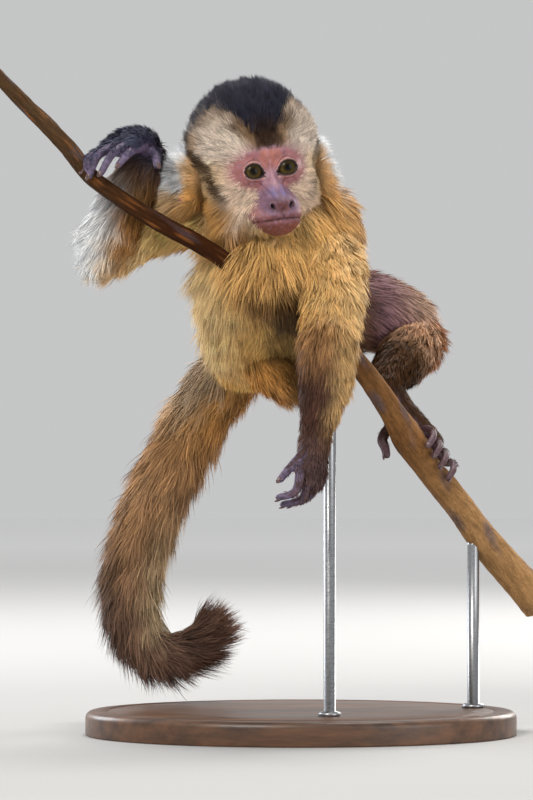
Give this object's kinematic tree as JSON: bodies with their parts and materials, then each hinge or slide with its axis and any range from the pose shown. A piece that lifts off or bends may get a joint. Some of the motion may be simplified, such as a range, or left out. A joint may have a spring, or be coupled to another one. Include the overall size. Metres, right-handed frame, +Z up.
{
  "type": "capuchin monkey model",
  "caption": "Still life-size model of a young tufted capuchin lying over a sloping branch, one arm hooked round it and tail hanging, held by rods on an oval base.",
  "frame": {"origin": "centre of the oval base's underside, on the floor", "axes": "+Z up, -Y towards the viewer that the animal faces, +X towards the animal's left side"},
  "size_m": [0.3283, 0.2189, 0.3849],
  "materials": {
    "base_wood": "satin dark stain",
    "rod_steel": "brushed",
    "bark": "rough bark",
    "coat_head": "short fur, black cap, cream brow and cheeks, bare pink and grey face",
    "ear_skin": "bare skin with white tufts",
    "eye": "glossy brown",
    "coat_golden": "golden tan fur",
    "coat_cream": "cream fur",
    "coat_brown": "brown fur",
    "coat_tail": "shaggy brown fur, darker towards the tip",
    "hand_skin": "bare dark skin with short hair"
  },
  "bodies": {
    "root": {"stand_base": "base_wood", "stand_rod_1": "rod_steel", "stand_rod_2": "rod_steel", "perch_branch": "bark", "neck": "coat_golden", "eye_left": "eye", "ear_left": "ear_skin", "eye_right": "eye", "ear_right": "ear_skin", "chest": "coat_golden", "belly": "coat_golden", "hips": "coat_golden", "head": "coat_head", "upper_arm_right": "coat_cream", "forearm_right": "coat_brown", "hand_right": "hand_skin", "upper_arm_left": "coat_cream", "forearm_left": "coat_brown", "hand_left": "hand_skin", "thigh_left": "coat_brown", "shank_left": "coat_brown", "foot_left": "hand_skin", "thigh_right": "coat_brown", "shank_right": "coat_brown", "foot_right": "hand_skin", "tail_1": "coat_tail", "tail_2": "coat_tail", "tail_3": "coat_tail", "tail_4": "coat_tail", "tail_5": "coat_tail"}
  },
  "joints": []
}
